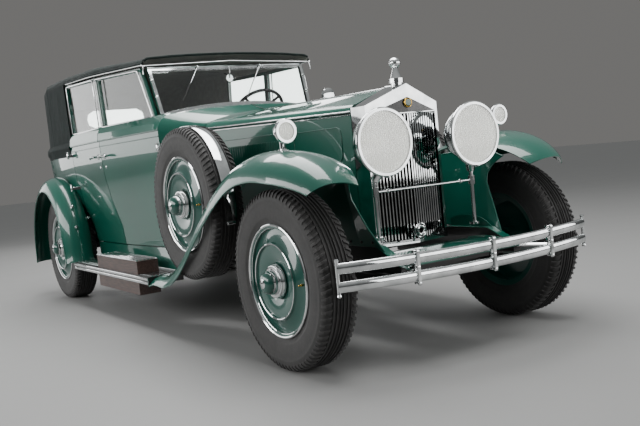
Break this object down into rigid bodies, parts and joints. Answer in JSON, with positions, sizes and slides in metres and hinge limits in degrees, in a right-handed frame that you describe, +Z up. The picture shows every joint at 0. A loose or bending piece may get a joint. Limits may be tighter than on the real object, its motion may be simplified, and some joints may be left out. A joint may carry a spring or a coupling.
{
  "type": "convertible sedan",
  "caption": "Long four-door convertible sedan of about 1930 with sweeping fenders, twin spare wheels in the fenders, large headlamps, double-blade bumpers and a raised cloth top.",
  "frame": {"origin": "on the ground under the middle of the bounding box", "axes": "+X towards the front of the car, +Y to the car's left, +Z up"},
  "size_m": [5.36, 1.874, 1.9118],
  "materials": {
    "body_paint": "gloss deep green",
    "wheel_paint": "gloss deep green",
    "tyre": "matt black rubber",
    "glass": "clear",
    "chrome": "polished",
    "chassis_black": "satin black",
    "engine_iron": "painted casting",
    "top_cloth": "woven top cloth",
    "seat_leather": "soft leather",
    "wheel_rim": "gloss black",
    "step_wood": "dark stained"
  },
  "bodies": {
    "front_left_wheel": {"tyre_front_left": "tyre", "wheel_front_left": "wheel_paint"},
    "front_left_door": {"door_front_left": "body_paint", "glass_front_left": "glass"},
    "front_right_wheel": {"tyre_front_right": "tyre", "wheel_front_right": "wheel_paint"},
    "front_right_door": {"door_front_right": "body_paint", "glass_front_right": "glass"},
    "rear_left_wheel": {"tyre_rear_left": "tyre", "wheel_rear_left": "wheel_paint"},
    "rear_left_door": {"door_rear_left": "body_paint", "glass_rear_left": "glass"},
    "rear_right_wheel": {"tyre_rear_right": "tyre", "wheel_rear_right": "wheel_paint"},
    "rear_right_door": {"door_rear_right": "body_paint", "glass_rear_right": "glass"},
    "steer_left": {"knuckle_left": "chassis_black"},
    "hood_left": {"hood_top_left": "body_paint"},
    "steer_right": {"knuckle_right": "chassis_black"},
    "hood_right": {"hood_top_right": "body_paint"},
    "steering": {"steering_wheel": "wheel_rim"},
    "body": {"bumpers": "chrome", "chassis_frame": "chassis_black", "cowl": "body_paint", "engine": "engine_iron", "exhaust_and_tank": "chassis_black", "fixed_glass": "glass", "floor": "body_paint", "front_apron": "body_paint", "front_axle": "chassis_black", "front_fenders": "body_paint", "hood_sides": "body_paint", "lamp_lenses": "glass", "lamps": "chrome", "leaf_springs": "chassis_black", "radiator_grille": "chrome", "radiator_shell": "chrome", "rear_axle": "chassis_black", "rear_fenders": "body_paint", "rear_tub": "body_paint", "running_boards": "chassis_black", "seats": "seat_leather", "soft_top": "top_cloth", "spare_tyres": "tyre", "spare_wheels": "wheel_paint", "step_boxes": "step_wood", "tail_lamps": "chassis_black", "windshield_frame": "chrome"}
  },
  "joints": [
    {"name": "steer_left", "type": "hinge", "parent": "body", "child": "steer_left", "pos_m": [2.03, 0.64, 0.446], "axis": [0, 0, 1], "range_deg": [-32, 32]},
    {"name": "steer_right", "type": "hinge", "parent": "body", "child": "steer_right", "pos_m": [2.03, -0.64, 0.446], "axis": [0, 0, 1], "range_deg": [-32, 32]},
    {"name": "steering_turn", "type": "hinge", "parent": "body", "child": "steering", "pos_m": [-0.185, 0.37, 1.405], "axis": [-0.766, 0, 0.6428], "range_deg": [-449, 449]},
    {"name": "spin_front_left", "type": "hinge", "parent": "steer_left", "child": "front_left_wheel", "pos_m": [2.03, 0.742, 0.446], "axis": [0, 1, 0], "continuous": true},
    {"name": "spin_front_right", "type": "hinge", "parent": "steer_right", "child": "front_right_wheel", "pos_m": [2.03, -0.742, 0.446], "axis": [0, 1, 0], "continuous": true},
    {"name": "spin_rear_left", "type": "hinge", "parent": "body", "child": "rear_left_wheel", "pos_m": [-1.81, 0.742, 0.446], "axis": [0, 1, 0], "continuous": true},
    {"name": "spin_rear_right", "type": "hinge", "parent": "body", "child": "rear_right_wheel", "pos_m": [-1.81, -0.742, 0.446], "axis": [0, 1, 0], "continuous": true},
    {"name": "door_front_left_swing", "type": "hinge", "parent": "body", "child": "front_left_door", "pos_m": [0.413, 0.722, 0.95], "axis": [0, 0, -1], "range_deg": [0, 65]},
    {"name": "door_front_right_swing", "type": "hinge", "parent": "body", "child": "front_right_door", "pos_m": [0.413, -0.722, 0.95], "axis": [0, 0, 1], "range_deg": [0, 65]},
    {"name": "door_rear_left_swing", "type": "hinge", "parent": "body", "child": "rear_left_door", "pos_m": [-1.394, 0.8, 0.95], "axis": [0, 0, 1], "range_deg": [0, 45]},
    {"name": "door_rear_right_swing", "type": "hinge", "parent": "body", "child": "rear_right_door", "pos_m": [-1.394, -0.8, 0.95], "axis": [0, 0, -1], "range_deg": [0, 45]},
    {"name": "hood_left_lift", "type": "hinge", "parent": "body", "child": "hood_left", "pos_m": [1.275, 0, 1.367], "axis": [0.9999, 0, -0.0149], "range_deg": [0, 55]},
    {"name": "hood_right_lift", "type": "hinge", "parent": "body", "child": "hood_right", "pos_m": [1.275, 0, 1.367], "axis": [-0.9999, 0, 0.0149], "range_deg": [0, 55]}
  ],
  "couplings": [
    {"joint": "steer_right", "follows": "steer_left", "ratio": 1},
    {"joint": "steering_turn", "follows": "steer_left", "ratio": 14}
  ]
}
